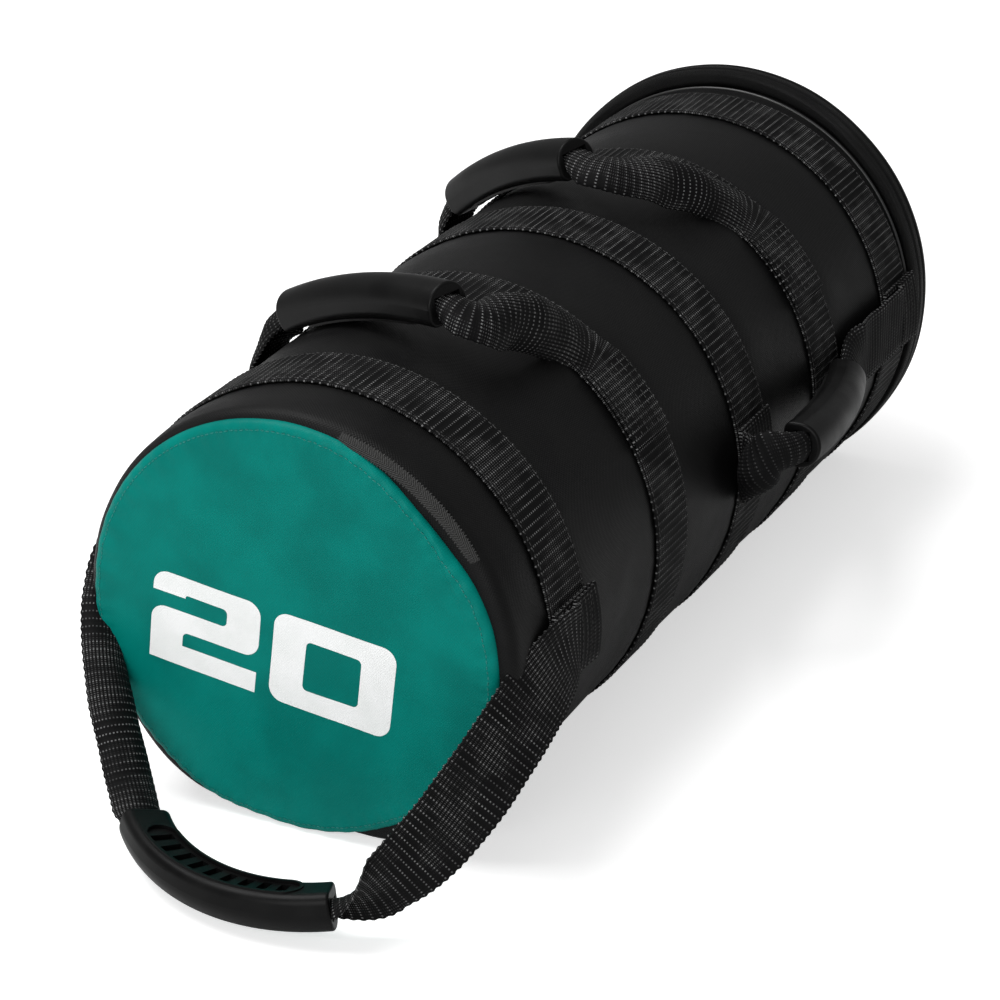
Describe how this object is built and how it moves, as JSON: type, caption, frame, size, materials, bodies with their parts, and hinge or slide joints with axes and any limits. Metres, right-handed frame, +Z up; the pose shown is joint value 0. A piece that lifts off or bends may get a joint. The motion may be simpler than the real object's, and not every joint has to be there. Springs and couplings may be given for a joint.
{
  "type": "weighted training bag",
  "caption": "Cylindrical weighted power bag of black vinyl with a padded teal end panel marked 20, five ribbed webbing rings and four webbing handles with moulded rubber grips.",
  "frame": {"origin": "on the floor under the bag, at the middle of its length without the front handle, on the flat underside of the middle webbing ring", "axes": "+Z up; +Y along the bag, from the teal end to the plain end; +X across it, towards the side handle"},
  "size_m": [0.2906, 0.6543, 0.2597],
  "materials": {
    "vinyl_black": "satin PVC-coated fabric with a fine embossed weave",
    "vinyl_teal": "glossy teal PVC-coated fabric",
    "edge_binding": "woven herringbone tape",
    "foam": "closed-cell EVA foam",
    "sack_cloth": "plain woven polypropylene",
    "sand": "packed sand",
    "webbing": "heavy ribbed polypropylene webbing",
    "grip_rubber": "satin moulded rubber"
  },
  "bodies": {
    "bag": {"shell": "vinyl_black", "far_skirt": "vinyl_black", "far_panel": "vinyl_black", "far_piping": "vinyl_black", "near_panel": "vinyl_teal", "near_binding": "edge_binding", "near_panel_foam": "foam", "far_panel_foam": "foam", "foam_sleeve": "foam", "foam_disc_near": "foam", "foam_disc_far": "foam", "inner_sack": "sack_cloth", "sand_fill": "sand", "band_1": "webbing", "band_2": "webbing", "band_3": "webbing", "band_4": "webbing", "band_5": "webbing", "front_anchor_left": "webbing", "front_anchor_right": "webbing", "top_near_base_left": "webbing", "top_near_base_right": "webbing", "top_far_base_left": "webbing", "top_far_base_right": "webbing", "side_anchor_near": "webbing", "side_anchor_far": "webbing"},
    "front_handle": {"front_grip": "grip_rubber", "front_webbing_core": "webbing", "front_leg_left": "webbing", "front_leg_right": "webbing"},
    "top_near_handle": {"top_near_grip": "grip_rubber", "top_near_webbing_core": "webbing", "top_near_leg_left": "webbing", "top_near_leg_right": "webbing"},
    "top_far_handle": {"top_far_grip": "grip_rubber", "top_far_webbing_core": "webbing", "top_far_leg_left": "webbing", "top_far_leg_right": "webbing"},
    "side_handle": {"side_grip": "grip_rubber", "side_webbing_core": "webbing", "side_leg_near": "webbing", "side_leg_far": "webbing"}
  },
  "joints": [
    {"name": "front_handle_swing", "type": "hinge", "parent": "bag", "child": "front_handle", "pos_m": [0, -0.2175, 0.10746], "axis": [-1, 0, 0], "range_deg": [0, 80], "deforming": ["front_leg_left", "front_leg_right"]},
    {"name": "top_near_handle_swing", "type": "hinge", "parent": "bag", "child": "top_near_handle", "pos_m": [-0.03996, -0.09521, 0.2173], "axis": [-0.9426, 0, -0.3338], "range_deg": [0, 70], "deforming": ["top_near_leg_left", "top_near_leg_right"]},
    {"name": "top_far_handle_swing", "type": "hinge", "parent": "bag", "child": "top_far_handle", "pos_m": [-0.03996, 0.11798, 0.2173], "axis": [-0.9426, 0, -0.3338], "range_deg": [0, 70], "deforming": ["top_far_leg_left", "top_far_leg_right"]},
    {"name": "side_handle_swing", "type": "hinge", "parent": "bag", "child": "side_handle", "pos_m": [0.096, 0.104, 0.11246], "axis": [0, -1, 0], "range_deg": [-15, 20], "deforming": ["side_leg_near", "side_leg_far"]}
  ]
}
